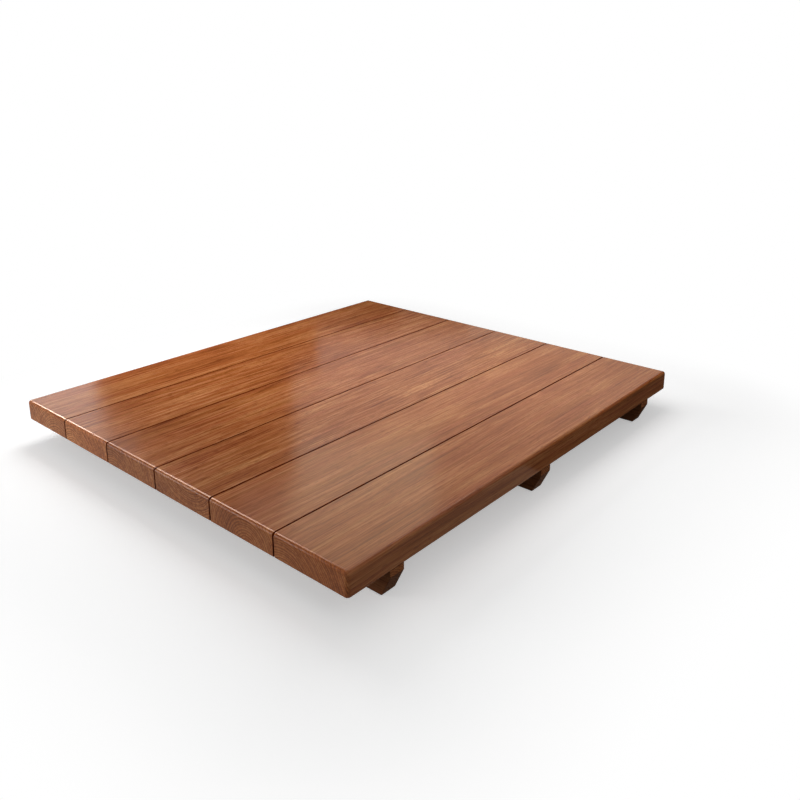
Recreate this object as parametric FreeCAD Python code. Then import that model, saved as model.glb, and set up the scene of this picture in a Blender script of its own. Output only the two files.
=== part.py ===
import FreeCAD, Part
import math
import os

# A low floor bed: a deck of thick planks lies on cross rails and is bolted
# down from below. X runs across the bed, Y from the foot end to the head end
# and Z up. The origin is on the floor, under the middle of the deck.

# Sizes of the deck
bed_width = 1800.0
bed_length = 2000.0
plank_count = 6
plank_thickness = 80.0
seam_gap = 4.0
rolled_edge_radius = 12.0
seam_edge_chamfer = 1.5
under_edge_radius = 3.0

# Sizes of the cross rails
rail_width = 60.0
rail_height = 95.0
rail_setback = 200.0
rail_end_height = 22.0
rail_bevel_run = 35.0
rail_edge_chamfer = 2.0

# Sizes of the loose tongues that keep the planks level with each other
tongue_thickness = 10.0
tongue_depth = 15.0
tongue_end_setback = 60.0
tongue_corner_cut = 8.0
tongue_edge_clearance = 0.8
tongue_top_clearance = 0.3

# Sizes of the bolts, and of the threaded sleeves that take them
bolt_diameter = 10.0
bolt_head_flats = 16.0
bolt_head_height = 6.4
bolt_entry_depth = 22.5
thread_clearance = 0.05
sleeve_diameter = 15.0
sleeve_length = 25.0
sleeve_recess = 1.0
sleeve_clearance = 0.1
drill_point_depth = 2.0

# Sizes of the washers and of the bolt holes in the rails
bolt_grip = 50.0
washer_diameter = 30.0
washer_thickness = 2.5
washer_clearance = 0.25
shank_clearance = 0.5
counterbore_clearance = 2.5

# Sizes of the felt strips that the rails stand on
strip_length = 120.0
strip_width = 40.0
strip_thickness = 3.0

# How far a cutting tool runs past the face that it starts from
cut_overrun = 5.0

# How close an edge has to lie to a plane to count as lying in it
plane_tolerance = 0.001

# Flats round a bolt's head, and those that stand in for a circle on the many
# washers, shanks, threads and hidden holes
head_flat_count = 6
washer_flat_count = 18
hidden_flat_count = 12

# Levels and places that follow from the sizes
rail_bottom = strip_thickness
deck_bottom = rail_bottom + rail_height
deck_top = deck_bottom + plank_thickness
washer_seat = deck_bottom - bolt_grip
plank_width = (bed_width - (plank_count - 1) * seam_gap) / plank_count
plank_pitch = plank_width + seam_gap
rail_centre_y = {
    "foot_rail": -bed_length / 2 + rail_setback,
    "middle_rail": 0.0,
    "head_rail": bed_length / 2 - rail_setback,
}


def vector(x, y, z):
    return FreeCAD.Vector(x, y, z)


def plank_left(index):
    """The left long edge of a plank, counted from the bed's left side."""
    return -bed_width / 2 + index * plank_pitch


def plank_centre(index):
    """Each plank is bolted here, so that it can swell both ways from its bolts."""
    return plank_left(index) + plank_width / 2


def seam_centre(index):
    """The middle of the gap to the right of a plank."""
    return plank_left(index) + plank_width + seam_gap / 2


def flat_sided_bar(flat_count, width, height, x, y, bottom):
    """An upright prism with this many flats, as wide as given across them."""
    half_step = math.pi / flat_count
    corner_radius = width / 2 / math.cos(half_step)
    corners = []
    for step in range(flat_count):
        angle = half_step * (2 * step + 1)
        corner_x = x + corner_radius * math.cos(angle)
        corner_y = y + corner_radius * math.sin(angle)
        corners.append(vector(corner_x, corner_y, bottom))
    outline = Part.makePolygon(corners + corners[:1])
    return Part.Face(outline).extrude(vector(0, 0, height))


def hidden_bar(diameter, height, x, y, bottom):
    """A shank, thread or hole that the wood hides."""
    return flat_sided_bar(hidden_flat_count, diameter, height, x, y, bottom)


def deck_slab():
    """The whole deck in one piece, as it is before the seams are sawn."""
    corner = vector(-bed_width / 2, -bed_length / 2, deck_bottom)
    slab = Part.makeBox(bed_width, bed_length, plank_thickness, corner)
    rolled = []
    for edge in slab.Edges:
        box = edge.BoundBox
        on_top = box.ZMin > deck_top - plane_tolerance
        upright = box.ZLength > plank_thickness / 2
        if on_top or upright:
            rolled.append(edge)
    slab = slab.makeFillet(rolled_edge_radius, rolled)
    under = [edge for edge in slab.Edges if edge.BoundBox.ZMax < deck_bottom + plane_tolerance]
    return slab.makeFillet(under_edge_radius, under)


def ease_seam_face(plank, x):
    """Take the sharp edge off all round the side face that a saw cut leaves."""
    loop = []
    for edge in plank.Edges:
        box = edge.BoundBox
        if abs(box.XMin - x) < plane_tolerance and abs(box.XMax - x) < plane_tolerance:
            loop.append(edge)
    return plank.makeChamfer(seam_edge_chamfer, loop)


def tongue_plate(index, clearance, height):
    """A seam's tongue, or the stopped groove that takes it, with cut corners."""
    width = seam_gap + 2 * tongue_depth + 2 * clearance
    length = bed_length - 2 * tongue_end_setback + 2 * clearance
    bottom = deck_bottom + (plank_thickness - tongue_thickness) / 2
    corner = vector(seam_centre(index) - width / 2, -length / 2, bottom)
    plate = Part.makeBox(width, length, height, corner)
    upright = [edge for edge in plate.Edges if edge.BoundBox.ZLength > height / 2]
    return plate.makeChamfer(tongue_corner_cut, upright)


def make_tongue(index):
    return tongue_plate(index, 0, tongue_thickness)


def groove_tool(index):
    return tongue_plate(index, tongue_edge_clearance, tongue_thickness + tongue_top_clearance)


def sleeve_pocket(x, y):
    """The blind hole for a sleeve, drilled past both the sleeve and the bolt."""
    depth = max(sleeve_recess + sleeve_length, bolt_entry_depth) + drill_point_depth
    width = sleeve_diameter + 2 * sleeve_clearance
    return hidden_bar(width, cut_overrun + depth, x, y, deck_bottom - cut_overrun)


def make_plank(slab, index):
    """One plank of the deck, with its grooves and the pockets for its sleeves."""
    left = plank_left(index)
    right = left + plank_width
    first = index == 0
    last = index == plank_count - 1
    start = left - cut_overrun if first else left
    end = right + cut_overrun if last else right
    corner = vector(start, -bed_length / 2 - cut_overrun, deck_bottom - cut_overrun)
    reach_y = bed_length + 2 * cut_overrun
    reach_z = plank_thickness + 2 * cut_overrun
    plank = slab.common(Part.makeBox(end - start, reach_y, reach_z, corner))
    tools = [sleeve_pocket(plank_centre(index), y) for y in rail_centre_y.values()]
    if not first:
        plank = ease_seam_face(plank, left)
        tools.append(groove_tool(index - 1))
    if not last:
        plank = ease_seam_face(plank, right)
        tools.append(groove_tool(index))
    return plank.cut(tools).Solids[0]


def rail_hole(x, y):
    """A counterbore from below for head and washer, and the hole for the shank."""
    counterbore_radius = washer_diameter / 2 + counterbore_clearance
    counterbore_height = cut_overrun + washer_seat - rail_bottom
    start = vector(x, y, rail_bottom - cut_overrun)
    counterbore = Part.makeCylinder(counterbore_radius, counterbore_height, start)
    shank_width = bolt_diameter + 2 * shank_clearance
    shank_hole = hidden_bar(shank_width, bolt_grip + 2 * cut_overrun, x, y, washer_seat - cut_overrun)
    return counterbore.fuse(shank_hole)


def make_rail(y):
    """A cross rail with its ends cut back from below, and its bolt holes."""
    half = bed_width / 2
    toe = half - rail_bevel_run
    shoulder = deck_bottom - rail_end_height
    front = y - rail_width / 2
    profile = [
        vector(-half, front, deck_bottom),
        vector(half, front, deck_bottom),
        vector(half, front, shoulder),
        vector(toe, front, rail_bottom),
        vector(-toe, front, rail_bottom),
        vector(-half, front, shoulder),
    ]
    outline = Part.makePolygon(profile + profile[:1])
    rail = Part.Face(outline).extrude(vector(0, rail_width, 0))
    eased = [edge for edge in rail.Edges if edge.BoundBox.ZMin < deck_bottom - plane_tolerance]
    rail = rail.makeChamfer(rail_edge_chamfer, eased)
    holes = [rail_hole(plank_centre(index), y) for index in range(plank_count)]
    return rail.cut(holes).Solids[0]


def make_bolt(x, y):
    """A hexagon bolt, head down, from under the washer up into the sleeve."""
    under_head = washer_seat - washer_thickness
    head_bottom = under_head - bolt_head_height
    head = flat_sided_bar(head_flat_count, bolt_head_flats, bolt_head_height, x, y, head_bottom)
    shank_length = washer_thickness + bolt_grip + bolt_entry_depth
    shank = hidden_bar(bolt_diameter, shank_length, x, y, under_head)
    return head.fuse(shank).Solids[0]


def make_washer(x, y):
    bottom = washer_seat - washer_thickness
    hole_width = bolt_diameter + 2 * washer_clearance
    hole = hidden_bar(hole_width, washer_thickness + 2 * cut_overrun, x, y, bottom - cut_overrun)
    washer = flat_sided_bar(washer_flat_count, washer_diameter, washer_thickness, x, y, bottom)
    return washer.cut(hole).Solids[0]


def make_sleeve(x, y):
    bottom = deck_bottom + sleeve_recess
    bore_width = bolt_diameter + 2 * thread_clearance
    bore = hidden_bar(bore_width, sleeve_length + 2 * cut_overrun, x, y, bottom - cut_overrun)
    return hidden_bar(sleeve_diameter, sleeve_length, x, y, bottom).cut(bore).Solids[0]


def make_strip(x, y):
    corner = vector(x - strip_length / 2, y - strip_width / 2, 0)
    return Part.makeBox(strip_length, strip_width, strip_thickness, corner)


def export(name, solids):
    shape = solids[0] if len(solids) == 1 else Part.makeCompound(solids)
    shape.exportStep("parts/" + name + ".step")


os.makedirs("parts", exist_ok=True)

# Planks, and the sleeves that are screwed into each one from below
slab = deck_slab()
for index in range(plank_count):
    name = "plank_" + str(index + 1)
    export(name, [make_plank(slab, index)])
    export(name + "_threaded_sleeves", [make_sleeve(plank_centre(index), y) for y in rail_centre_y.values()])

# Tongues, one in each seam
for index in range(plank_count - 1):
    export("seam_tongue_" + str(index + 1), [make_tongue(index)])

# Rails, each with its bolts and washers under the planks' middles and its felt strips under the seams
for name, y in rail_centre_y.items():
    centres = [plank_centre(index) for index in range(plank_count)]
    seams = [seam_centre(index) for index in range(plank_count - 1)]
    export(name, [make_rail(y)])
    export(name + "_bolts", [make_bolt(x, y) for x in centres])
    export(name + "_washers", [make_washer(x, y) for x in centres])
    export(name + "_felt_strips", [make_strip(x, y) for x in seams])
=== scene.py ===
import math

import bmesh
import bpy
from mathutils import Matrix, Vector


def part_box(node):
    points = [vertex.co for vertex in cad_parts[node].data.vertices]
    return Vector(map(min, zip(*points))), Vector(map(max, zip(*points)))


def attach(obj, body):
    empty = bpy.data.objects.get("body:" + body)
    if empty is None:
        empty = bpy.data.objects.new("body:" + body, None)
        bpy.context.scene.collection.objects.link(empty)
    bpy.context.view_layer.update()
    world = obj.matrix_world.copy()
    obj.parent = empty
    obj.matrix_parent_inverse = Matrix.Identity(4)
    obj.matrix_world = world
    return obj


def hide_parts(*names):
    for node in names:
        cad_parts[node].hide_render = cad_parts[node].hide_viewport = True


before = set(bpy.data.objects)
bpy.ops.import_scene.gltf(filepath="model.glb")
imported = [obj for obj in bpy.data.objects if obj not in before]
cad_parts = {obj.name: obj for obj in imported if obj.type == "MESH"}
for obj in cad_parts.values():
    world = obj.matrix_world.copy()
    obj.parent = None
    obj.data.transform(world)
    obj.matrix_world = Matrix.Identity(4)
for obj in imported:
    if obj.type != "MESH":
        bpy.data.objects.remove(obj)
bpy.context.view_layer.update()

# Felt strips under the rails: brown pressed wool felt, 3 mm thick, cut to 120 by
# 40 mm with scissors and glued on under each seam of the deck. They keep the rails
# off the floor. The cut edges are soft, and the face is a mat of short fibres.
RAIL_NAMES = ("foot_rail", "middle_rail", "head_rail")
PLANK_COUNT = 6
STRIP_LENGTH = 0.120
STRIP_WIDTH = 0.040
STRIP_EDGE_SOFTNESS = 0.0007
STRIP_EDGE_STEPS = 2
STRIP_FACE_CUTS = 12
STRIP_UNEVENNESS = 0.00012
STRIP_SEED = 4
STRIP_SMOOTH_ANGLE = 40
FELT_BROWN = "#4b3b30"
FELT_DARK = "#2e231c"

# Clumps of wool, and its fibres, which are drawn about ten times as thick as real ones,
# because those are too fine to show
FELT_CLUMPS_MM = (3.03, 3.03, 3.03)
FELT_FIBRES_MM = (0.417, 0.417, 0.417)
FELT_FUZZ = 0.0004


def linear(hex_colour):
    """An sRGB hex colour as the linear colour that a shader takes."""
    shares = [int(hex_colour[place:place + 2], 16) / 255 for place in (1, 3, 5)]
    return [s / 12.92 if s <= 0.04045 else ((s + 0.055) / 1.055) ** 2.4 for s in shares] + [1.0]


def add_node(tree, kind, inputs=None, stops=None, **settings):
    """Add a node. An input is a value, or the socket that feeds it; stops fill a colour ramp."""
    node = tree.nodes.new(kind)
    for name, value in settings.items():
        setattr(node, name, value)
    for place, value in (inputs or {}).items():
        if isinstance(value, bpy.types.NodeSocket):
            tree.links.new(value, node.inputs[place])
        else:
            node.inputs[place].default_value = value
    for count, (place, colour) in enumerate(stops or []):
        elements = node.color_ramp.elements
        stop = elements[count] if count < 2 else elements.new(place)
        stop.position = place
        stop.color = colour
    return node


def new_material(name):
    """An empty node material, and its tree."""
    material = bpy.data.materials.new(name)
    material.use_nodes = True
    material.node_tree.nodes.clear()
    return material, material.node_tree


def mottling(tree, place, sizes_mm, detail, roughness=0.5, shift=(0, 0, 0)):
    """Noise whose blots have these sizes, in millimetres along X, Y and Z."""
    fitted = add_node(tree, "ShaderNodeMapping",
                      {"Vector": place, "Scale": [1000 / size for size in sizes_mm], "Location": shift})
    return add_node(tree, "ShaderNodeTexNoise",
                    {"Vector": fitted.outputs[0], "Scale": 1.0, "Detail": detail, "Roughness": roughness})


def pressed_felt():
    """Wool felt: matt, with a faint halo of loose fibres and a mottled brown."""
    material, tree = new_material("pressed_wool_felt")
    place = add_node(tree, "ShaderNodeTexCoord").outputs["Object"]
    clumps = mottling(tree, place, FELT_CLUMPS_MM, 3.0).outputs["Fac"]
    fibres = mottling(tree, place, FELT_FIBRES_MM, 4.0).outputs["Fac"]
    mixed = add_node(tree, "ShaderNodeMath", {0: clumps, 1: fibres}, operation="MULTIPLY").outputs[0]
    colour = add_node(tree, "ShaderNodeValToRGB", {"Fac": mixed},
                      stops=[(0.12, linear(FELT_DARK)), (0.42, linear(FELT_BROWN))]).outputs["Color"]
    bump = add_node(tree, "ShaderNodeBump", {"Height": fibres, "Strength": 0.6, "Distance": FELT_FUZZ})
    shader = add_node(tree, "ShaderNodeBsdfPrincipled",
                      {"Base Color": colour, "Roughness": 0.95, "Sheen Weight": 0.25,
                       "Specular IOR Level": 0.2, "Normal": bump.outputs["Normal"]})
    add_node(tree, "ShaderNodeOutputMaterial", {"Surface": shader.outputs["BSDF"]})
    return material


def start_piece(name, add_primitive, **size_and_place):
    """Add a primitive, name it, and put its size and place into its mesh."""
    bpy.ops.object.select_all(action="DESELECT")
    add_primitive(**size_and_place)
    piece = bpy.context.active_object
    piece.name = name
    bpy.ops.object.transform_apply(location=True, rotation=True, scale=True)
    return piece


def make_active(piece):
    """Select just this piece, for the operators that follow."""
    bpy.ops.object.select_all(action="DESELECT")
    piece.select_set(True)
    bpy.context.view_layer.objects.active = piece


def select_only(piece, kind, passes):
    """In edit mode, select just the verts, edges or faces that pass a test."""
    mode = {"verts": "VERT", "edges": "EDGE", "faces": "FACE"}[kind]
    bpy.ops.mesh.select_mode(type=mode)
    bpy.ops.mesh.select_all(action="DESELECT")
    mesh = bmesh.from_edit_mesh(piece.data)
    for element in getattr(mesh, kind):
        if passes(element):
            element.select_set(True)
    bmesh.update_edit_mesh(piece.data)


def copy_piece(piece, name, move=(0, 0, 0)):
    """A copy with its own mesh, moved inside that mesh."""
    double = piece.copy()
    double.data = piece.data.copy()
    double.name = name
    bpy.context.collection.objects.link(double)
    make_active(double)
    bpy.ops.transform.translate(value=move)
    bpy.ops.object.transform_apply(location=True, rotation=False, scale=False)
    return double


def join_pieces(pieces, name):
    """Several pieces of one kind as one object, under this name."""
    make_active(pieces[0])
    for piece in pieces:
        piece.select_set(True)
    bpy.ops.object.join()
    pieces[0].name = name
    return pieces[0]


plank_left = [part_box(f"plank_{number}")[0].x for number in range(1, PLANK_COUNT + 1)]
plank_right = [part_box(f"plank_{number}")[1].x for number in range(1, PLANK_COUNT + 1)]
plank_centre = [(left + right) / 2 for left, right in zip(plank_left, plank_right)]
seam_centre = [(right + left) / 2 for right, left in zip(plank_right[:-1], plank_left[1:])]
rail_centre = {name: (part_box(name)[0].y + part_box(name)[1].y) / 2 for name in RAIL_NAMES}
strip_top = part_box("foot_rail_felt_strips")[1].z

first_strip = start_piece("strip", bpy.ops.mesh.primitive_cube_add, size=1,
                          location=(0, 0, strip_top / 2), scale=(STRIP_LENGTH, STRIP_WIDTH, strip_top))
bpy.ops.object.mode_set(mode="EDIT")
bpy.ops.mesh.select_all(action="SELECT")
bpy.ops.mesh.bevel(offset=STRIP_EDGE_SOFTNESS, segments=STRIP_EDGE_STEPS, affect="EDGES")
select_only(first_strip, "faces", lambda face: face.calc_area() > STRIP_WIDTH * strip_top / 2)
bpy.ops.mesh.subdivide(number_cuts=STRIP_FACE_CUTS)

# The scissors leave the cut faces a little uneven, and the flat faces stay as pressed
inner_half = strip_top / 2 - STRIP_EDGE_SOFTNESS / 2
select_only(first_strip, "verts", lambda vert: abs(vert.co.z - strip_top / 2) < inner_half)
bpy.ops.transform.vertex_random(offset=STRIP_UNEVENNESS, uniform=1.0, normal=0.0, seed=STRIP_SEED)
bpy.ops.object.mode_set(mode="OBJECT")
bpy.ops.object.shade_smooth_by_angle(angle=math.radians(STRIP_SMOOTH_ANGLE))
first_strip.data.materials.append(pressed_felt())
for rail_name in RAIL_NAMES:
    copies = [copy_piece(first_strip, "strip_copy", (x, rail_centre[rail_name], 0)) for x in seam_centre]
    strips = join_pieces(copies, rail_name + "_felt")
    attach(strips, "root")
    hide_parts(rail_name + "_felt_strips")
bpy.data.objects.remove(first_strip)

# Cross rails: sawn pine, stained dark brown and lacquered. Each end is cut back
# from below, so that the rail hides under the deck, and the sharp edges are eased.
# Six holes are counterbored from below for the bolts that hold the planks.
RAIL_END_HEIGHT = 0.022
RAIL_BEVEL_RUN = 0.035
RAIL_EASE = 0.002
RAIL_EASE_STEPS = 3
WASHER_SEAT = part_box("foot_rail_washers")[1].z
COUNTERBORE_RADIUS = 0.0175
SHANK_HOLE_RADIUS = 0.0055
HOLE_SIDES = 48
CUT_OVERRUN = 0.004
EASED_SMOOTH_ANGLE = 35
FLAT_FACE_WEIGHT = 100

# Where the trunk's middle lay for each rail, and how the trunk leaned, in degrees
RAIL_PITHS = {"foot_rail": (0, -0.86, -0.02), "middle_rail": (0, 0.07, 0.16), "head_rail": (0, 0.74, -0.05)}
RAIL_LEAN = (0, 0.5, 0.8)
RAIL_SEED_STEP = 5.3
# The rails' colours hold their dark stain and, darkened further, a painted shade from the deck above them;
# the high end level lifts the sawn ends back up
RAIL_FINISH = {"colours": ("#4d2919", "#7e4d32", "#926544"), "ring_width": 0.008,
               "roughness": (0.42, 0.55), "specular": 0.01, "end_level": 2.15, "painted_under_shade": 0.5}

# The patterns in sawn wood, in millimetres across, along and through the trunk. Fibres and
# resin canals, under half a millimetre wide in real wood, are too fine to show, so they are
# drawn 2 to 3 mm wide.
TRUNK_WAVES_MM = (125, 833, 125)
FIBRES_MM = (2.78, 200, 2.78)
STREAKS_MM = (11.1, 556, 11.1)
STAIN_CLOUDS_MM = (41.7, 200, 41.7)
STAIN_PATCHES_MM = (154, 625, 154)
RESIN_CANALS_MM = (2.08, 38.5, 2.08)
HEARTWOOD_BANDS_MM = (26.3, 1111, 26.3)

# How far the waves push the trunk aside, how deep the fibres stand, how often good and
# bad years and the years' tones change in a year, and how many rings good years shift
TRUNK_SWAY = 0.026
FIBRE_RELIEF = 0.0002
GOOD_YEARS_RATE = 0.45
GOOD_YEARS_DRIFT = 1.6
YEAR_TONE_RATE = 0.21

# Grey over one year's growth: wide pale spring wood, then a thin dark summer line
RING_GREYS = ((0.0, 0.62), (0.18, 0.82), (0.62, 0.55), (0.86, 0.18), (0.95, 0.3), (1.0, 0.55))

# Noise lies mostly between these two values
NOISE_LOW, NOISE_HIGH = 0.3, 0.7

# Resin canals: from where in their noise they start, where they are full, and how dark they get
CANAL_START, CANAL_FULL = 0.56, 0.72
CANAL_DEPTH = 0.55

# A sawn end: how far a face has to turn to the grain, how far it then takes the end's
# colour, where in a ring's grey the two tints lie, and the tints
END_TURN_START, END_TURN_FULL = 0.3, 0.8
END_SHARE = 0.72
SUMMER_GREY, SPRING_GREY = 0.15, 0.8
SUMMER_TINT = (0.58, 0.53, 0.46)
SPRING_TINT = (1.14, 1.10, 0.95)

# Painted shade on faces that look down: how far a face has to turn down, as the height of its normal
UNDER_TURN_FULL, UNDER_TURN_START = -0.35, -0.1

# Hues that the stain turns to on heartwood and sapwood, where 0.5 leaves it as it is
BAND_HUES = (0.497, 0.504)

# The colour sockets of a Mix node, by number, because it has others of the same names
MIX_SHARE, MIX_FIRST, MIX_SECOND, MIX_RESULT = 0, 6, 7, 2


def sharpen_flats(piece, angle=EASED_SMOOTH_ANGLE):
    """Round the shading over soft edges, and keep the large faces flat."""
    make_active(piece)
    bpy.ops.object.shade_smooth_by_angle(angle=math.radians(angle))
    weighted = piece.modifiers.new("flat_faces", "WEIGHTED_NORMAL")
    weighted.keep_sharp = True
    weighted.weight = FLAT_FACE_WEIGHT
    bpy.ops.object.modifier_apply(modifier=weighted.name)


def cut_with(piece, cutter, operation="DIFFERENCE"):
    """Cut one solid out of another, or trim it to what both hold, and drop the cutter."""
    make_active(piece)
    cut = piece.modifiers.new("cut", "BOOLEAN")
    cut.operation = operation
    cut.solver = "EXACT"
    cut.object = cutter
    bpy.ops.object.modifier_apply(modifier=cut.name)
    bpy.data.objects.remove(cutter)


def trunk_places(tree, grain_axis, pith, lean, seed):
    """Places as they were in the trunk, its pith along Y: first straight, then swayed as it grew."""
    place = add_node(tree, "ShaderNodeTexCoord").outputs["Object"]
    lay_along_y = (0, 0, 0) if grain_axis == "Y" else (0, 0, math.radians(-90))
    turn = Vector(lay_along_y) + Vector([math.radians(angle) for angle in lean])
    straight = add_node(tree, "ShaderNodeMapping", {"Vector": place, "Location": pith, "Rotation": turn},
                        vector_type="TEXTURE").outputs[0]
    waves = mottling(tree, straight, TRUNK_WAVES_MM, 3.0, shift=(seed, seed, 0)).outputs["Color"]
    centred = add_node(tree, "ShaderNodeVectorMath", {0: waves, 1: (0.5, 0.5, 0.5)},
                       operation="SUBTRACT").outputs[0]
    swayed = add_node(tree, "ShaderNodeVectorMath",
                      {0: centred, 1: (TRUNK_SWAY, 0.0, TRUNK_SWAY), 2: straight},
                      operation="MULTIPLY_ADD").outputs[0]
    return straight, swayed


def yearly_rings(tree, swayed, ring_width):
    """Rings round the pith, and a tone that each year keeps over its whole width."""
    across = add_node(tree, "ShaderNodeVectorMath", {0: swayed, 1: (1, 0, 1)},
                      operation="MULTIPLY").outputs[0]
    radius = add_node(tree, "ShaderNodeVectorMath", {0: across}, operation="LENGTH").outputs["Value"]
    years = add_node(tree, "ShaderNodeMath", {0: radius, 1: 1 / ring_width}, operation="MULTIPLY").outputs[0]
    growth = add_node(tree, "ShaderNodeTexNoise", {"W": years, "Scale": GOOD_YEARS_RATE, "Detail": 2.0},
                      noise_dimensions="1D").outputs["Fac"]
    years = add_node(tree, "ShaderNodeMath", {0: growth, 1: GOOD_YEARS_DRIFT, 2: years},
                     operation="MULTIPLY_ADD").outputs[0]
    season = add_node(tree, "ShaderNodeMath", {0: years}, operation="FRACT").outputs[0]
    rings = add_node(tree, "ShaderNodeValToRGB", {"Fac": season},
                     stops=[(share, (grey, grey, grey, 1)) for share, grey in RING_GREYS]).outputs["Color"]
    year_tone = add_node(tree, "ShaderNodeTexNoise", {"W": years, "Scale": YEAR_TONE_RATE, "Detail": 3.0},
                         noise_dimensions="1D").outputs["Fac"]
    return rings, year_tone


def stain_colour(tree, weighted_patterns, colours):
    """The stain's colour, from dark to light, where patterns with these weights add up to its tone."""
    tone = 0.5
    for pattern, weight in weighted_patterns:
        tone = add_node(tree, "ShaderNodeMath", {0: pattern, 1: weight, 2: tone},
                        operation="MULTIPLY_ADD").outputs[0]
    offset = sum(weight for pattern, weight in weighted_patterns) / 2
    tone = add_node(tree, "ShaderNodeMath", {0: tone, 1: offset}, operation="SUBTRACT").outputs[0]
    dark, middle, light = (linear(colour) for colour in colours)
    return add_node(tree, "ShaderNodeValToRGB", {"Fac": tone},
                    stops=[(0.0, dark), (0.5, middle), (1.0, light)]).outputs["Color"]


def with_resin_canals(tree, swayed, colour, dark, figure):
    """Dark dashes, where the stain went deep into the wood's resin canals."""
    dashes = mottling(tree, swayed, RESIN_CANALS_MM, 1.0).outputs["Fac"]
    canals = add_node(tree, "ShaderNodeMapRange",
                      {"Value": dashes, "From Min": CANAL_START, "From Max": CANAL_FULL,
                       "To Max": CANAL_DEPTH * figure}).outputs[0]
    return add_node(tree, "ShaderNodeMix", {MIX_SHARE: canals, MIX_FIRST: colour, MIX_SECOND: linear(dark)},
                    data_type="RGBA").outputs[MIX_RESULT]


def with_heartwood_bands(tree, swayed, colour, seed):
    """Bands of heartwood and sapwood: one takes the stain redder, one yellower."""
    bands = mottling(tree, swayed, HEARTWOOD_BANDS_MM, 2.0, shift=(seed, 0, 0)).outputs["Fac"]
    hue = add_node(tree, "ShaderNodeMapRange",
                   {"Value": bands, "From Min": NOISE_LOW, "From Max": NOISE_HIGH,
                    "To Min": BAND_HUES[0], "To Max": BAND_HUES[1]}).outputs[0]
    return add_node(tree, "ShaderNodeHueSaturation", {"Hue": hue, "Color": colour}).outputs["Color"]


def coloured_by_face(tree, grain_axis, long_face, plain, rings, end_level, painted_under_shade):
    """Sawn ends drink more stain, so they are greyer and their rings stand out. Faces that look down
    are darkened by a painted shade."""
    normal = add_node(tree, "ShaderNodeTexCoord").outputs["Normal"]
    parts = add_node(tree, "ShaderNodeSeparateXYZ", {"Vector": normal}).outputs
    facing = add_node(tree, "ShaderNodeMath", {0: parts[grain_axis]}, operation="ABSOLUTE").outputs[0]
    on_end = add_node(tree, "ShaderNodeMapRange",
                      {"Value": facing, "From Min": END_TURN_START, "From Max": END_TURN_FULL,
                       "To Max": END_SHARE}, interpolation_type="SMOOTHSTEP").outputs[0]
    summer, spring = ([end_level * share for share in tint] + [1] for tint in (SUMMER_TINT, SPRING_TINT))
    ring_tint = add_node(tree, "ShaderNodeValToRGB", {"Fac": rings},
                         stops=[(SUMMER_GREY, summer), (SPRING_GREY, spring)]).outputs["Color"]
    end = add_node(tree, "ShaderNodeMix", {MIX_SHARE: 1.0, MIX_FIRST: plain, MIX_SECOND: ring_tint},
                   data_type="RGBA", blend_type="MULTIPLY").outputs[MIX_RESULT]
    colour = add_node(tree, "ShaderNodeMix", {MIX_SHARE: on_end, MIX_FIRST: long_face, MIX_SECOND: end},
                      data_type="RGBA").outputs[MIX_RESULT]
    # Painted shade: faces that look down are darkened
    light = add_node(tree, "ShaderNodeMapRange",
                     {"Value": parts["Z"], "From Min": UNDER_TURN_FULL, "From Max": UNDER_TURN_START,
                      "To Min": 1 - painted_under_shade, "To Max": 1.0}).outputs[0]
    return add_node(tree, "ShaderNodeVectorMath", {0: colour, "Scale": light},
                    operation="SCALE").outputs[0]


def sawn_wood(name, grain_axis, pith, lean, seed, colours, ring_width, roughness, specular,
              figure=1.0, end_level=1.0, painted_under_shade=0.0):
    """Sawn wood under its finish: yearly rings round a pith, which show as arcs on the sawn ends and
    as long straight streaks along the grain, and a satin film that is duller over the pale fibres.
    The figure strengthens the grain, the end level lightens the sawn ends, and a painted shade
    darkens the faces that look down."""
    material, tree = new_material(name)
    straight, swayed = trunk_places(tree, grain_axis, pith, lean, seed)
    rings, year_tone = yearly_rings(tree, swayed, ring_width)
    fibres = mottling(tree, swayed, FIBRES_MM, 4.0, roughness=0.6).outputs["Fac"]
    streaks = mottling(tree, swayed, STREAKS_MM, 3.0, roughness=0.6).outputs["Fac"]
    clouds = mottling(tree, swayed, STAIN_CLOUDS_MM, 2.0, shift=(seed, seed, 0)).outputs["Fac"]
    patches = mottling(tree, straight, STAIN_PATCHES_MM, 1.5, shift=(0, seed, seed)).outputs["Fac"]

    # How strongly each pattern shows in the stain's tone
    weighted_patterns = ((rings, 0.26 * figure), (year_tone, 0.45), (fibres, 0.95 * figure),
                         (streaks, 0.75 * figure), (clouds, 0.35 * figure), (patches, 0.50))
    plain = stain_colour(tree, weighted_patterns, colours)
    plain = with_resin_canals(tree, swayed, plain, colours[0], figure)
    long_face = with_heartwood_bands(tree, swayed, plain, seed)
    colour = coloured_by_face(tree, grain_axis, long_face, plain, rings, end_level, painted_under_shade)

    film = add_node(tree, "ShaderNodeMapRange",
                    {"Value": fibres, "From Min": NOISE_LOW, "From Max": NOISE_HIGH,
                     "To Min": roughness[0], "To Max": roughness[1]}).outputs[0]
    relief = add_node(tree, "ShaderNodeMath", {0: fibres, 1: rings}, operation="ADD").outputs[0]
    bump = add_node(tree, "ShaderNodeBump", {"Height": relief, "Strength": 0.1, "Distance": FIBRE_RELIEF})
    shader = add_node(tree, "ShaderNodeBsdfPrincipled",
                      {"Base Color": colour, "Roughness": film, "IOR": 1.5, "Specular IOR Level": specular,
                       "Normal": bump.outputs["Normal"]})
    add_node(tree, "ShaderNodeOutputMaterial", {"Surface": shader.outputs["BSDF"]})
    return material


rail_low, rail_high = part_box("foot_rail")
first_rail = start_piece("rail", bpy.ops.mesh.primitive_cube_add, size=1,
                         location=(rail_low + rail_high) / 2, scale=rail_high - rail_low)
bpy.ops.object.mode_set(mode="EDIT")

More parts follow.
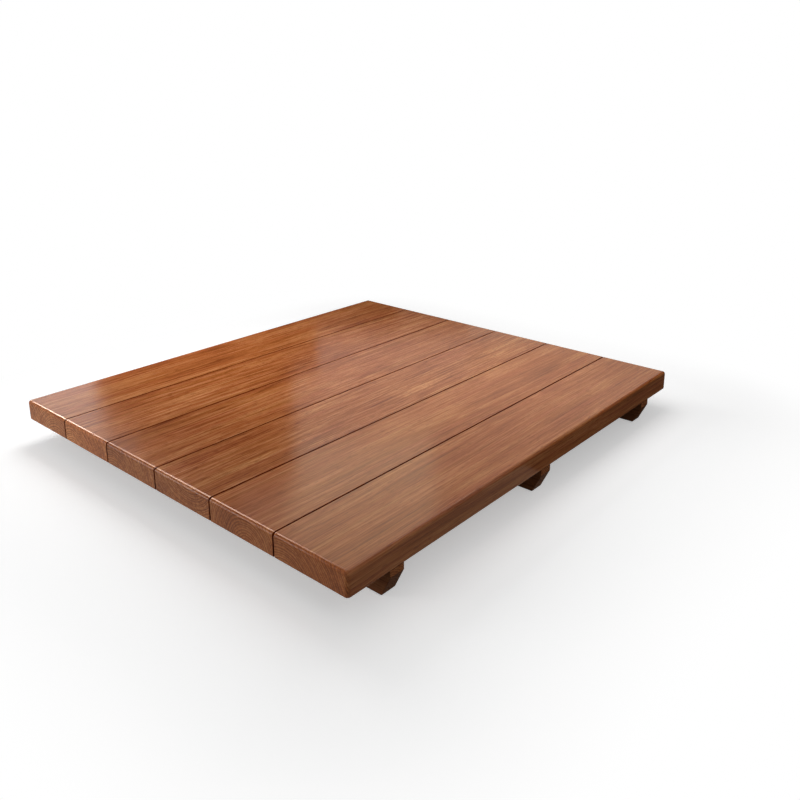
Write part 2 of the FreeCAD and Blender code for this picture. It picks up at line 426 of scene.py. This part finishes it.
# Each end is sawn back from its nose down to the rail's underside
shoulder = rail_high.z - RAIL_END_HEIGHT
bevel_rise = shoulder - rail_low.z
for side in (-1, 1):
    bpy.ops.mesh.select_mode(type="FACE")
    bpy.ops.mesh.select_all(action="SELECT")
    bpy.ops.mesh.bisect(plane_co=(side * rail_high.x, rail_low.y, shoulder),
                        plane_no=(side * bevel_rise, 0, -RAIL_BEVEL_RUN),
                        use_fill=True, clear_outer=True)
select_only(first_rail, "edges", lambda edge: min(v.co.z for v in edge.verts) < rail_high.z - RAIL_EASE)
bpy.ops.mesh.bevel(offset=RAIL_EASE, segments=RAIL_EASE_STEPS, affect="EDGES")
bpy.ops.object.mode_set(mode="OBJECT")
for count, rail_name in enumerate(RAIL_NAMES):
    y = rail_centre[rail_name]
    rail = copy_piece(first_rail, rail_name + "_beam", (0, y - rail_centre["foot_rail"], 0))
    for x in plank_centre:
        for radius, low, high in ((COUNTERBORE_RADIUS, rail_low.z - CUT_OVERRUN, WASHER_SEAT),
                                  (SHANK_HOLE_RADIUS, WASHER_SEAT - CUT_OVERRUN, rail_high.z + CUT_OVERRUN)):
            cut_with(rail, start_piece("drill", bpy.ops.mesh.primitive_cylinder_add, vertices=HOLE_SIDES,
                                       radius=radius, depth=high - low, location=(x, y, (low + high) / 2)))
    sharpen_flats(rail)
    rail.data.materials.append(sawn_wood("stained_pine_" + rail_name, "X", RAIL_PITHS[rail_name], RAIL_LEAN,
                                         RAIL_SEED_STEP * count, **RAIL_FINISH))
    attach(rail, "root")
    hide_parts(rail_name)
bpy.data.objects.remove(first_rail)

# Bolts: M10 by 75 hexagon head, zinc-plated steel, cold-headed from wire and with
# a rolled thread. They come up from below through washer and rail into the plank.
HEAD_ACROSS_FLATS = 0.016
HEAD_FLATS = 6
HEAD_CHAMFER = 0.0011
HEAD_FACE_SHARE = 0.95
BLANK_OVERSIZE = 1.02
BLANK_SIDES = 72
BOLT_SMOOTH_ANGLE = 25
THREAD_RADIUS = 0.005
THREAD_ROOT_RADIUS = 0.0042
THREAD_PITCH = 0.0015
THREAD_LENGTH = 0.026
TURNED_SIDES = 36
MERGE_DISTANCE = 1e-6
ZINC_LIGHT = "#c9cbc8"
ZINC_DARK = "#9da19f"
ZINC_ROUGHNESS = (0.24, 0.38)

# Where in a turn of the thread its crest starts and ends, as shares of the pitch
THREAD_CREST_SHARES = (0.45, 0.6)

# Clouds in the metal's finish, and the marks that a tool leaves round the piece. Real marks
# are too fine to show, so these are drawn about three times as far apart.
METAL_CLOUDS_MM = (6.25, 6.25, 6.25)
TOOL_MARKS_MM = (3.33, 3.33, 0.303)
TOOL_MARK_DEPTH = 0.00005
bolt_bottom, bolt_top = (corner.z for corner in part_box("foot_rail_bolts"))
washer_bottom, washer_top = (corner.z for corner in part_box("foot_rail_washers"))


def turned(name, outline, closed=False, sides=TURNED_SIDES):
    """Spin an outline of (radius, height) points round the upright axis, as a lathe turns a bar."""
    bpy.ops.object.select_all(action="DESELECT")
    bpy.ops.mesh.primitive_plane_add(size=1)
    piece = bpy.context.active_object
    piece.name = name
    bpy.ops.object.mode_set(mode="EDIT")
    bpy.ops.mesh.select_mode(type="VERT")
    bpy.ops.mesh.merge(type="CENTER")
    bpy.ops.transform.translate(value=(outline[0][0], 0, outline[0][1]))
    points = list(outline[1:]) + ([outline[0]] if closed else [])
    at = outline[0]
    for point in points:
        bpy.ops.mesh.extrude_region_move(
            TRANSFORM_OT_translate={"value": (point[0] - at[0], 0, point[1] - at[1])})
        at = point
    bpy.ops.mesh.select_all(action="SELECT")
    bpy.ops.mesh.remove_doubles(threshold=MERGE_DISTANCE)
    bpy.ops.mesh.spin(steps=sides, angle=2 * math.pi, center=(0, 0, 0), axis=(0, 0, 1))
    bpy.ops.mesh.select_all(action="SELECT")
    bpy.ops.mesh.remove_doubles(threshold=MERGE_DISTANCE)
    bpy.ops.mesh.normals_make_consistent(inside=False)
    bpy.ops.object.mode_set(mode="OBJECT")
    return piece


def thread_outline(crest, root, low, high, pitch):
    """Points up the side of a thread, each turn drawn as one ring."""
    points = []
    turns = int((high - low) / pitch)
    for turn in range(turns):
        points.append((root, low + turn * pitch))
        for share in THREAD_CREST_SHARES:
            points.append((crest, low + (turn + share) * pitch))
    points.append((root, low + turns * pitch))
    return points


def worked_metal(name, light, dark, roughness):
    """Plated or turned metal: bright, with a faint cloudiness and fine marks from the tool."""
    material, tree = new_material(name)
    place = add_node(tree, "ShaderNodeTexCoord").outputs["Object"]
    clouds = mottling(tree, place, METAL_CLOUDS_MM, 3.0).outputs["Fac"]
    marks = mottling(tree, place, TOOL_MARKS_MM, 2.0).outputs["Fac"]
    colour = add_node(tree, "ShaderNodeValToRGB", {"Fac": clouds},
                      stops=[(0.35, linear(dark)), (0.65, linear(light))]).outputs["Color"]
    gloss = add_node(tree, "ShaderNodeMapRange",
                     {"Value": clouds, "From Min": NOISE_LOW, "From Max": NOISE_HIGH,
                      "To Min": roughness[0], "To Max": roughness[1]}).outputs[0]
    bump = add_node(tree, "ShaderNodeBump", {"Height": marks, "Strength": 0.15, "Distance": TOOL_MARK_DEPTH})
    shader = add_node(tree, "ShaderNodeBsdfPrincipled",
                      {"Base Color": colour, "Metallic": 1.0, "Roughness": gloss,
                       "Normal": bump.outputs["Normal"]})
    add_node(tree, "ShaderNodeOutputMaterial", {"Surface": shader.outputs["BSDF"]})
    return material


thread_low = bolt_top - THREAD_LENGTH
shank = turned("shank", [
    (0, washer_bottom), (THREAD_RADIUS, washer_bottom), (THREAD_RADIUS, thread_low - THREAD_PITCH),
    *thread_outline(THREAD_RADIUS, THREAD_ROOT_RADIUS, thread_low, bolt_top - THREAD_PITCH / 2, THREAD_PITCH),
    (THREAD_ROOT_RADIUS - THREAD_PITCH / 2, bolt_top), (0, bolt_top)])

# The head is a hexagon, trimmed by a turned blank whose chamfer cuts its corners
half_flat = math.pi / HEAD_FLATS
corner_radius = HEAD_ACROSS_FLATS / 2 / math.cos(half_flat)
head = start_piece("head", bpy.ops.mesh.primitive_cylinder_add, vertices=HEAD_FLATS, radius=corner_radius,
                   depth=washer_bottom - bolt_bottom, location=(0, 0, (washer_bottom + bolt_bottom) / 2),
                   rotation=(0, 0, half_flat))
blank_radius = corner_radius * BLANK_OVERSIZE
blank = turned("blank", [
    (0, bolt_bottom), (HEAD_ACROSS_FLATS / 2 * HEAD_FACE_SHARE, bolt_bottom),
    (blank_radius, bolt_bottom + HEAD_CHAMFER), (blank_radius, washer_bottom), (0, washer_bottom)],
    sides=BLANK_SIDES)
cut_with(head, blank, operation="INTERSECT")
first_bolt = join_pieces([head, shank], "bolt")
sharpen_flats(first_bolt, BOLT_SMOOTH_ANGLE)
zinc = worked_metal("zinc_plated_steel", ZINC_LIGHT, ZINC_DARK, ZINC_ROUGHNESS)
first_bolt.data.materials.append(zinc)
for rail_name in RAIL_NAMES:
    copies = [copy_piece(first_bolt, "bolt_copy", (x, rail_centre[rail_name], 0)) for x in plank_centre]
    bolts = join_pieces(copies, rail_name + "_hex_bolts")
    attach(bolts, "root")
    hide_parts(rail_name + "_bolts")
bpy.data.objects.remove(first_bolt)

# Washers: wide steel ones, stamped from sheet and zinc plated, so the lower edge
# is slightly rounded by the punch. They spread each bolt's pull over the wood.
WASHER_RADIUS = 0.015
WASHER_HOLE_RADIUS = 0.00525
WASHER_ROUNDING = 0.0004
WASHER_SIDES = 64
WASHER_SMOOTH_ANGLE = 30
first_washer = turned("washer", [
    (WASHER_HOLE_RADIUS, washer_bottom + WASHER_ROUNDING),
    (WASHER_HOLE_RADIUS + WASHER_ROUNDING, washer_bottom),
    (WASHER_RADIUS - WASHER_ROUNDING, washer_bottom), (WASHER_RADIUS, washer_bottom + WASHER_ROUNDING),
    (WASHER_RADIUS, washer_top), (WASHER_HOLE_RADIUS, washer_top)], closed=True, sides=WASHER_SIDES)
sharpen_flats(first_washer, WASHER_SMOOTH_ANGLE)
first_washer.data.materials.append(zinc)
for rail_name in RAIL_NAMES:
    copies = [copy_piece(first_washer, "washer_copy", (x, rail_centre[rail_name], 0)) for x in plank_centre]
    washers = join_pieces(copies, rail_name + "_wide_washers")
    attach(washers, "root")
    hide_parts(rail_name + "_washers")
bpy.data.objects.remove(first_washer)

# Threaded sleeves: turned brass, with a coarse wood thread outside and an M10
# bore inside. They are screwed into the underside of each plank at every rail.
SLEEVE_RADIUS = 0.0075
SLEEVE_ROOT_RADIUS = 0.0066
SLEEVE_BORE_RADIUS = 0.00505
SLEEVE_PITCH = 0.003
SLEEVE_CHAMFER = 0.0008
SLEEVE_SMOOTH_ANGLE = 30
BRASS_LIGHT = "#c9a55a"
BRASS_DARK = "#a98440"
BRASS_ROUGHNESS = (0.22, 0.36)
sleeve_low, sleeve_high = (corner.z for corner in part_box("plank_1_threaded_sleeves"))
first_sleeve = turned("sleeve", [
    (SLEEVE_BORE_RADIUS + SLEEVE_CHAMFER, sleeve_low), (SLEEVE_ROOT_RADIUS, sleeve_low),
    *thread_outline(SLEEVE_RADIUS, SLEEVE_ROOT_RADIUS, sleeve_low + SLEEVE_CHAMFER,
                    sleeve_high - SLEEVE_CHAMFER, SLEEVE_PITCH),
    (SLEEVE_ROOT_RADIUS, sleeve_high), (SLEEVE_BORE_RADIUS, sleeve_high),
    (SLEEVE_BORE_RADIUS, sleeve_low + SLEEVE_CHAMFER)], closed=True)
sharpen_flats(first_sleeve, SLEEVE_SMOOTH_ANGLE)
first_sleeve.data.materials.append(worked_metal("turned_brass", BRASS_LIGHT, BRASS_DARK, BRASS_ROUGHNESS))
for number, x in enumerate(plank_centre, 1):
    copies = [copy_piece(first_sleeve, "sleeve_copy", (x, y, 0)) for y in rail_centre.values()]
    sleeves = join_pieces(copies, f"plank_{number}_brass_sleeves")
    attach(sleeves, "root")
    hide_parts(f"plank_{number}_threaded_sleeves")
bpy.data.objects.remove(first_sleeve)

# Seam tongues: loose tongues of planed beech in a stopped groove along each seam,
# with cut corners so that they go in easily. They keep the planks level.
TONGUE_CORNER_CUT = 0.008
TONGUE_EASE = 0.0006
TONGUE_EASE_STEPS = 2
BEECH_PITH_BELOW = 0.3
BEECH_LEAN = (0, 0, 0.4)
BEECH_SEED_STEP = 3.1
BEECH_FINISH = {"colours": ("#b48a5c", "#caa375", "#d8b78c"), "ring_width": 0.003,
                "roughness": (0.5, 0.6), "specular": 0.3}
tongue_low, tongue_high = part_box("seam_tongue_1")
first_tongue = start_piece("tongue", bpy.ops.mesh.primitive_cube_add, size=1,
                           location=(tongue_low + tongue_high) / 2, scale=tongue_high - tongue_low)
bpy.ops.object.mode_set(mode="EDIT")
select_only(first_tongue, "edges", lambda edge: abs(edge.verts[0].co.z - edge.verts[1].co.z) > TONGUE_EASE)
bpy.ops.mesh.bevel(offset=TONGUE_CORNER_CUT, segments=1, affect="EDGES")
bpy.ops.mesh.select_all(action="SELECT")
bpy.ops.mesh.bevel(offset=TONGUE_EASE, segments=TONGUE_EASE_STEPS, affect="EDGES")
bpy.ops.object.mode_set(mode="OBJECT")
sharpen_flats(first_tongue)
for number, x in enumerate(seam_centre, 1):
    tongue = copy_piece(first_tongue, f"seam_tongue_{number}_slip", (x - seam_centre[0], 0, 0))
    tongue.data.materials.append(sawn_wood(f"planed_beech_{number}", "Y", (x, 0, -BEECH_PITH_BELOW),
                                           BEECH_LEAN, BEECH_SEED_STEP * number, **BEECH_FINISH))
    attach(tongue, "root")
    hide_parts(f"seam_tongue_{number}")
bpy.data.objects.remove(first_tongue)

# Deck planks: solid pine, 80 mm thick, stained a warm brown and lacquered to a
# satin gloss. The outside edges are rolled over with a 12 mm cutter, the edges
# along the seams are only eased, and the underside is drilled for the sleeves.
ROLLED_RADIUS = 0.012
ROLLED_STEPS = 10
UNDER_RADIUS = 0.003
UNDER_STEPS = 4
SEAM_EASE = 0.0015
SEAM_EASE_STEPS = 2
GROOVE_CLEARANCE = 0.0008
GROOVE_TOP_CLEARANCE = 0.0003
SLEEVE_POCKET_RADIUS = 0.0076
SLEEVE_POCKET_DEPTH = 0.028
SLEEVE_POCKET_SIDES = 32
PLANK_SMOOTH_ANGLE = 40
SAME_PLACE = 0.0001
PLANK_SEED_STEP = 2.7
PLANK_FINISH = {"colours": ("#6b2d10", "#aa6032", "#d08e5a"), "ring_width": 0.009,
                "roughness": (0.13, 0.19), "specular": 0.12}
SEAM_DARK = "#4a1605"
SEAM_BROWN = "#85350f"
SAW_MARKS_MM = (33.3, 4, 33.3)
SAW_MARK_DEPTH = 0.0003
TIMBERS = (
    # how strong the figure is, how light the sawn end is, where the trunk's middle lay
    # from the plank's own, to the side and up, and how the trunk leaned, in degrees
    (1.3, 1.40, (0.07, -0.10), (0.4, 0, 0.8)),
    (1.5, 1.65, (-0.09, -0.09), (-0.3, 0, -0.7)),
    (1.4, 1.20, (-0.12, -0.07), (0.3, 0, 0.5)),
    (1.5, 1.12, (0.02, 0.12), (-0.4, 0, 0.9)),
    (1.0, 1.15, (0.04, -0.06), (0.3, 0, -0.5)),
    (1.0, 1.15, (-0.12, -0.09), (0.2, 0, 0.6)),
)

# The deck is rolled as one slab, and each plank is sawn out of it afterwards
deck_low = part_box("plank_1")[0]
deck_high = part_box(f"plank_{PLANK_COUNT}")[1]
slab = start_piece("slab", bpy.ops.mesh.primitive_cube_add, size=1,
                   location=(deck_low + deck_high) / 2, scale=deck_high - deck_low)
bpy.ops.object.mode_set(mode="EDIT")
select_only(slab, "edges", lambda edge: max(v.co.z for v in edge.verts) > deck_high.z - SAME_PLACE)
bpy.ops.mesh.bevel(offset=ROLLED_RADIUS, segments=ROLLED_STEPS, affect="EDGES")
select_only(slab, "edges", lambda edge: max(v.co.z for v in edge.verts) < deck_low.z + SAME_PLACE)
bpy.ops.mesh.bevel(offset=UNDER_RADIUS, segments=UNDER_STEPS, affect="EDGES")
bpy.ops.object.mode_set(mode="OBJECT")

# The stopped groove that takes a tongue, cut half into each plank
groove_size = tongue_high - tongue_low + Vector((2 * GROOVE_CLEARANCE, 2 * GROOVE_CLEARANCE, 0))
groove_size.z += GROOVE_TOP_CLEARANCE
groove_centre_z = (tongue_low.z + tongue_high.z + GROOVE_TOP_CLEARANCE) / 2
groove = start_piece("groove", bpy.ops.mesh.primitive_cube_add, size=1,
                     location=(0, 0, groove_centre_z), scale=groove_size)
bpy.ops.object.mode_set(mode="EDIT")
select_only(groove, "edges", lambda edge: abs(edge.verts[0].co.z - edge.verts[1].co.z) > SAME_PLACE)
bpy.ops.mesh.bevel(offset=TONGUE_CORNER_CUT, segments=1, affect="EDGES")
bpy.ops.object.mode_set(mode="OBJECT")


def soaked_seam():
    """The sawn faces in the seams, soaked with stain: a dark reddish brown, wholly matt and fibrous."""
    material, tree = new_material("stain_soaked_saw_cut")
    place = add_node(tree, "ShaderNodeTexCoord").outputs["Object"]
    marks = mottling(tree, place, SAW_MARKS_MM, 3.0).outputs["Fac"]
    colour = add_node(tree, "ShaderNodeValToRGB", {"Fac": marks},
                      stops=[(NOISE_LOW, linear(SEAM_DARK)),
                             (NOISE_HIGH, linear(SEAM_BROWN))]).outputs["Color"]
    bump = add_node(tree, "ShaderNodeBump", {"Height": marks, "Strength": 0.3, "Distance": SAW_MARK_DEPTH})
    shader = add_node(tree, "ShaderNodeBsdfPrincipled",
                      {"Base Color": colour, "Roughness": 0.7, "Specular IOR Level": 0.0,
                       "Normal": bump.outputs["Normal"]})
    add_node(tree, "ShaderNodeOutputMaterial", {"Surface": shader.outputs["BSDF"]})
    return material


half_seam = seam_centre[0] - plank_right[0]
seam_finish = soaked_seam()
for number, (figure, end_level, (aside, above), lean) in enumerate(TIMBERS, 1):
    left, right, centre = plank_left[number - 1], plank_right[number - 1], plank_centre[number - 1]
    plank = copy_piece(slab, f"plank_{number}_board")
    sawn = []
    if number > 1:
        sawn.append((left, -1))
    if number < PLANK_COUNT:
        sawn.append((right, 1))
    bpy.ops.object.mode_set(mode="EDIT")
    for x, side in sawn:
        bpy.ops.mesh.select_mode(type="FACE")
        bpy.ops.mesh.select_all(action="SELECT")
        bpy.ops.mesh.bisect(plane_co=(x, 0, 0), plane_no=(side, 0, 0), use_fill=True, clear_outer=True)
        select_only(plank, "edges", lambda edge: all(abs(v.co.x - x) < SAME_PLACE for v in edge.verts))
        bpy.ops.mesh.bevel(offset=SEAM_EASE, segments=SEAM_EASE_STEPS, affect="EDGES")
    bpy.ops.object.mode_set(mode="OBJECT")
    for x, side in sawn:
        cut_with(plank, copy_piece(groove, "groove_copy", (x + side * half_seam, 0, 0)))
    for y in rail_centre.values():
        cut_with(plank, start_piece("pocket", bpy.ops.mesh.primitive_cylinder_add,
                                    vertices=SLEEVE_POCKET_SIDES, radius=SLEEVE_POCKET_RADIUS,
                                    depth=2 * SLEEVE_POCKET_DEPTH, location=(centre, y, deck_low.z)))
    sharpen_flats(plank, PLANK_SMOOTH_ANGLE)
    pith = (centre + aside, 0, (deck_low.z + deck_high.z) / 2 + above)
    plank.data.materials.append(sawn_wood(f"stained_pine_plank_{number}", "Y", pith, lean,
                                          PLANK_SEED_STEP * number, figure=figure, end_level=end_level,
                                          **PLANK_FINISH))
    plank.data.materials.append(seam_finish)

    # The faces and eased edges along the seams take the finish of the saw cut
    for face in plank.data.polygons:
        corners = [plank.data.vertices[corner].co.x for corner in face.vertices]
        if any(all(abs(corner - x) < SEAM_EASE + SAME_PLACE for corner in corners) for x, side in sawn):
            face.material_index = 1
    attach(plank, "root")
    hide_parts(f"plank_{number}")
bpy.data.objects.remove(slab)
bpy.data.objects.remove(groove)

# The studio floor: a plain pale sheet that runs out of sight. It shows the bed's
# shadow, reads as white behind the bed, and throws only a little light back up.
FLOOR_SIZE = 60.0
FLOOR_SHOWN = "#f2f2f2"
FLOOR_BOUNCE = "#4f4c48"
FLOOR_LIFT = 0.40
SHADOW_START = 0.05
SHADOW_REACH = 0.8
WHITE = (1, 1, 1, 1)


def in_plain_view(tree):
    """1 where the camera, a reflection or glass looks, and 0 where light only bounces."""
    rays = add_node(tree, "ShaderNodeLightPath").outputs
    seen = rays["Is Camera Ray"]
    for kind in ("Is Glossy Ray", "Is Transmission Ray"):
        seen = add_node(tree, "ShaderNodeMath", {0: seen, 1: rays[kind]}, operation="MAXIMUM").outputs[0]
    return seen


def backdrop_paper():
    """Matt paper that takes the bed's shadow near the deck and fades to plain white further out. It
    is dark to light that bounces, so that little comes back up under the bed."""
    material, tree = new_material("matt_backdrop_paper")
    near = add_node(tree, "ShaderNodeBsdfPrincipled",
                    {"Base Color": linear(FLOOR_SHOWN), "Roughness": 0.9, "Specular IOR Level": 0.0,
                     "Emission Color": WHITE, "Emission Strength": FLOOR_LIFT})
    white = add_node(tree, "ShaderNodeEmission", {"Color": WHITE, "Strength": 1.0})

    # How far a point of the floor lies outside the deck's outline, and 0 under the deck
    place = add_node(tree, "ShaderNodeTexCoord").outputs["Object"]
    from_middle = add_node(tree, "ShaderNodeVectorMath", {0: place}, operation="ABSOLUTE").outputs[0]
    past = add_node(tree, "ShaderNodeVectorMath", {0: from_middle, 1: (deck_high.x, deck_high.y, 0)},
                    operation="SUBTRACT").outputs[0]
    past = add_node(tree, "ShaderNodeVectorMath", {0: past}, operation="MAXIMUM").outputs[0]
    away = add_node(tree, "ShaderNodeVectorMath", {0: past}, operation="LENGTH").outputs["Value"]
    far = add_node(tree, "ShaderNodeMapRange",
                   {"Value": away, "From Min": SHADOW_START, "From Max": SHADOW_REACH},
                   interpolation_type="SMOOTHSTEP").outputs[0]
    shown = add_node(tree, "ShaderNodeMixShader", {0: far, 1: near.outputs[0], 2: white.outputs[0]})
    bounce = add_node(tree, "ShaderNodeBsdfDiffuse", {"Color": linear(FLOOR_BOUNCE)})
    paper = add_node(tree, "ShaderNodeMixShader",
                     {0: in_plain_view(tree), 1: bounce.outputs[0], 2: shown.outputs[0]})
    add_node(tree, "ShaderNodeOutputMaterial", {"Surface": paper.outputs[0]})
    return material


floor = start_piece("studio_floor", bpy.ops.mesh.primitive_plane_add, size=FLOOR_SIZE)
floor.data.materials.append(backdrop_paper())

# The light: a dim even room that shows as white, three soft panels over and beside
# the deck, and a fill for the foot end. The seven other panels show only in the
# gloss, where they draw the lacquer's bright lines, pale veils and sheen.
ROOM_LEVEL = 0.30
WHITE_BEHIND = 1.0
LAMP_WHITE = "#ffffff"
LAMP_CREAM = "#ffe6d6"
LAMP_STRAW = "#fff2cc"
LAMP_AMBER = "#fff6a0"
LAMPS = (
    # name, place, the point that it faces, width, height, power, colour, what it lights
    ("overhead_panel", (0.4, 0.6, 1.2), (0.4, 0.61, 0.0), 0.9, 0.9, 6.2, LAMP_WHITE, "surfaces"),
    ("left_softbox", (-1.1, -0.2, 1.3), (-0.2, -0.15, 0.1), 0.9, 0.9, 13.0, LAMP_WHITE, "surfaces"),
    ("right_softbox", (3.2, -1.4, 2.4), (0.6, -0.6, 0.1), 1.2, 1.2, 6.2, LAMP_WHITE, "surfaces"),
    ("front_fill", (-3.2, -4.2, 1.1), (0, -0.8, 0.1), 2.0, 1.6, 72.0, LAMP_WHITE, "both"),
    # These three draw the bright line along the rolled foot edge
    ("edge_panel", (-3.0, -0.65, 1.61), (-0.6, -0.9, 0.15), 1.0, 0.34, 44.0, LAMP_CREAM, "gloss"),
    ("high_edge_panel", (-3.0, 0.0, 3.2), (-0.2, -0.9, 0.15), 2.0, 2.4, 210.0, LAMP_CREAM, "gloss"),
    ("peak_panel", (-3.0, -0.6, 3.5), (0.4, -1.0, 0.15), 1.4, 1.0, 36.0, LAMP_CREAM, "gloss"),
    # These three lay a pale veil over the near corner, warm it over the middle of the
    # deck, and put a pale patch on the foot end's left corner
    ("veil_panel", (-2.27, 2.33, 2.8), (0.6, -0.6, 0.15), 1.35, 1.5, 12.5, LAMP_STRAW, "gloss"),
    ("warm_panel", (-1.2, 3.6, 2.3), (0.4, 0.1, 0.15), 3.2, 1.6, 2.6, LAMP_AMBER, "gloss"),
    ("window_panel", (-3.68, 0.43, 1.35), (-0.7, -0.9, 0.18), 0.65, 0.95, 2.0, LAMP_WHITE, "gloss"),
    # This one gives the rolled right side its soft sheen
    ("back_panel", (0.6, 1.7, 3.1), (0.9, -0.7, 0.15), 2.0, 1.4, 22.0, LAMP_WHITE, "gloss"),
)
world = bpy.data.worlds.new("studio_room")
bpy.context.scene.world = world
world.use_nodes = True
world.node_tree.nodes.clear()
strength = add_node(world.node_tree, "ShaderNodeMapRange",
                    {"Value": in_plain_view(world.node_tree), "To Min": ROOM_LEVEL,
                     "To Max": WHITE_BEHIND}).outputs[0]
room = add_node(world.node_tree, "ShaderNodeBackground", {"Color": WHITE, "Strength": strength})
add_node(world.node_tree, "ShaderNodeOutputWorld", {"Surface": room.outputs[0]})
for name, place, target, width, height, power, colour, lights in LAMPS:
    bpy.ops.object.light_add(type="AREA", location=place)
    lamp = bpy.context.active_object
    lamp.name = name
    lamp.data.shape = "RECTANGLE"
    lamp.data.size = width
    lamp.data.size_y = height
    lamp.data.energy = power
    lamp.data.color = linear(colour)[:3]
    lamp.rotation_euler = (Vector(target) - Vector(place)).to_track_quat("-Z", "Y").to_euler()
    lamp.visible_camera = False
    lamp.visible_diffuse = lights != "gloss"
    lamp.visible_glossy = lights != "surfaces"

# Flags: black and grey cloths and a cream curtain on stands behind the bed, and
# cloths laid on the floor round it. Only the gloss sees them. Each glows as one even
# shade, a painted reflection, so the lacquer shows the wood there and not a white room.
CLOTH_THICKNESS = 0.01
CLOTH_LIFT = 0.005
FLAG_BLACK = "#0c0a09"
FLAG_GREY = "#8a7f74"
CURTAIN_CREAM = "#f7efe3"
FOOT_CLOTH_BEIGE = "#f2e8da"
SIDE_CLOTH_GREY = "#bbb1a6"
SIDE_CLOTH_BROWN = "#5f5247"
STANDING_CLOTHS = (
    # name, one end, the other end, low side, high side, colour
    ("tall_flag", (-2.68, 1.95), (-3.42, 0.88), 0.0, 2.36, FLAG_BLACK),
    ("peak_flag", (-2.97, 1.53), (-3.42, 0.88), 2.3, 2.85, FLAG_BLACK),
    ("side_flag", (-3.42, 0.88), (-3.57, 0.66), 0.0, 1.75, FLAG_BLACK),
    ("step_flag", (-2.53, 2.10), (-2.68, 1.95), 0.0, 1.35, FLAG_BLACK),
    ("low_flag", (-2.05, 2.58), (-2.68, 1.95), 0.0, 0.95, FLAG_BLACK),
    ("grey_flag", (-1.66, 3.05), (-2.72, 1.99), 0.0, 1.05, FLAG_GREY),
    ("cream_curtain", (-1.66, 3.05), (0.12, 3.8), 0.0, 1.33, CURTAIN_CREAM),
    ("back_flag", (0.12, 3.8), (3.6, 3.0), 0.0, 1.9, FLAG_BLACK),
)
LYING_CLOTHS = (
    # name, the middle of one end, the middle of the other end, width, colour
    ("foot_cloth", (-2.4, -1.9), (2.4, -1.9), 1.7, FOOT_CLOTH_BEIGE),
    ("near_side_cloth", (-1.0, -0.45), (3.6, -0.45), 1.1, SIDE_CLOTH_GREY),
    ("side_cloth", (-1.0, 1.95), (3.6, 1.95), 3.7, SIDE_CLOTH_BROWN),
)


def spread_cloth(name, start, end, width, low, high, colour):
    """A cloth between two points on the floor plan, which only the gloss sees. It glows in its own colour,
    unlit, as a painted reflection.
    """
    run = Vector(end) - Vector(start)
    middle = (Vector(start) + Vector(end)) / 2
    cloth = start_piece(name, bpy.ops.mesh.primitive_cube_add, size=1,
                        location=(middle.x, middle.y, (low + high) / 2),
                        rotation=(0, 0, math.atan2(run.y, run.x)), scale=(run.length, width, high - low))
    glow_shade, tree = new_material(name + "_cotton")
    # Painted reflection: the cloth glows in its colour, unlit, and shows only in the gloss
    shade = add_node(tree, "ShaderNodeEmission", {"Color": linear(colour), "Strength": 1.0})
    add_node(tree, "ShaderNodeOutputMaterial", {"Surface": shade.outputs[0]})
    cloth.data.materials.append(glow_shade)
    cloth.visible_camera = False
    cloth.visible_diffuse = False
    cloth.visible_shadow = False


for name, start, end, low, high, colour in STANDING_CLOTHS:
    spread_cloth(name, start, end, CLOTH_THICKNESS, low, high, colour)
for name, start, end, width, colour in LYING_CLOTHS:
    spread_cloth(name, start, end, width, CLOTH_LIFT, CLOTH_LIFT + CLOTH_THICKNESS, colour)

# The camera: at a standing person's chest height, off the foot end's right corner.
# Its place, turn and lens come from a fit of the bed's edges in the photograph.
CAMERA_PLACE = (2.2238, -2.3136, 1.4382)
CAMERA_AZIMUTH = 40.9695
CAMERA_PITCH = 15.7861
CAMERA_LENS = 36.599
CAMERA_SENSOR = 36.0
CAMERA_RISE_SHARE = -0.12
bpy.ops.object.camera_add(location=CAMERA_PLACE,
                          rotation=(math.radians(90 - CAMERA_PITCH), 0, math.radians(CAMERA_AZIMUTH)))
camera = bpy.context.active_object
camera.data.lens = CAMERA_LENS
camera.data.sensor_width = CAMERA_SENSOR
camera.data.shift_y = CAMERA_RISE_SHARE
bpy.context.scene.camera = camera
bpy.context.scene.view_settings.view_transform = "Standard"
